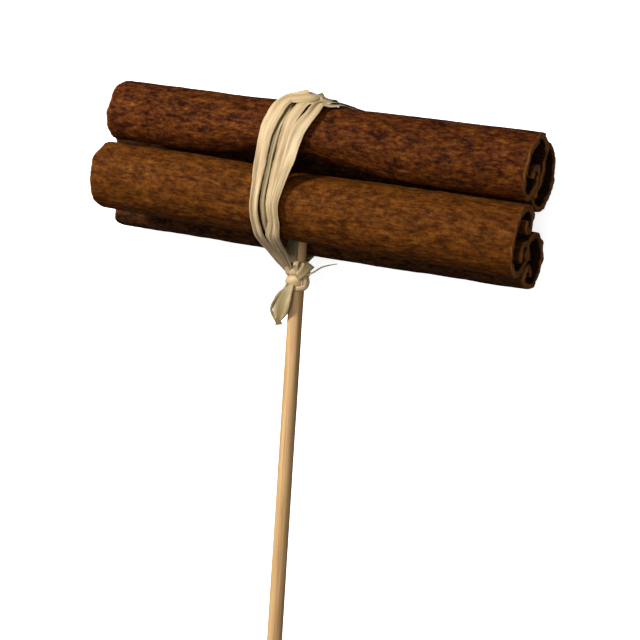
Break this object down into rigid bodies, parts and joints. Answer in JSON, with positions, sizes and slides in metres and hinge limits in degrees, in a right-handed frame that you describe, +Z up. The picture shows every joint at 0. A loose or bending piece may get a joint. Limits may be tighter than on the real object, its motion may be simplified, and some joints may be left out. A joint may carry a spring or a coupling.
{
  "type": "bundle of cinnamon sticks",
  "caption": "Bundle of rolled cinnamon bark sticks stacked either side of a thin round wooden pick and tied across the middle with flat raffia strips knotted on the pick",
  "frame": {"origin": "on the floor, in the middle of the footprint box of the lying bundle and its pick", "axes": "+X along the sticks, +Y from the pick's tip towards the sticks, +Z up from the floor, through the shown side"},
  "size_m": [0.0872, 0.1654, 0.0276],
  "materials": {
    "bark_red": "dry fibrous bark, mottled red-brown, matte",
    "bark_olive": "dry fibrous bark, mottled orange-brown, matte",
    "bark_dark": "dry fibrous bark, mottled dark brown, matte",
    "pale_wood": "bare pale turned wood, fine grain along the pick",
    "raffia": "dry pale straw strips, folded lengthwise, slight sheen"
  },
  "bodies": {
    "root": {"quill_front_top": "bark_red", "quill_front_bottom": "bark_olive", "quill_back_top": "bark_dark", "quill_back_bottom": "bark_dark", "pick": "pale_wood", "raffia_tie": "raffia"}
  },
  "joints": []
}
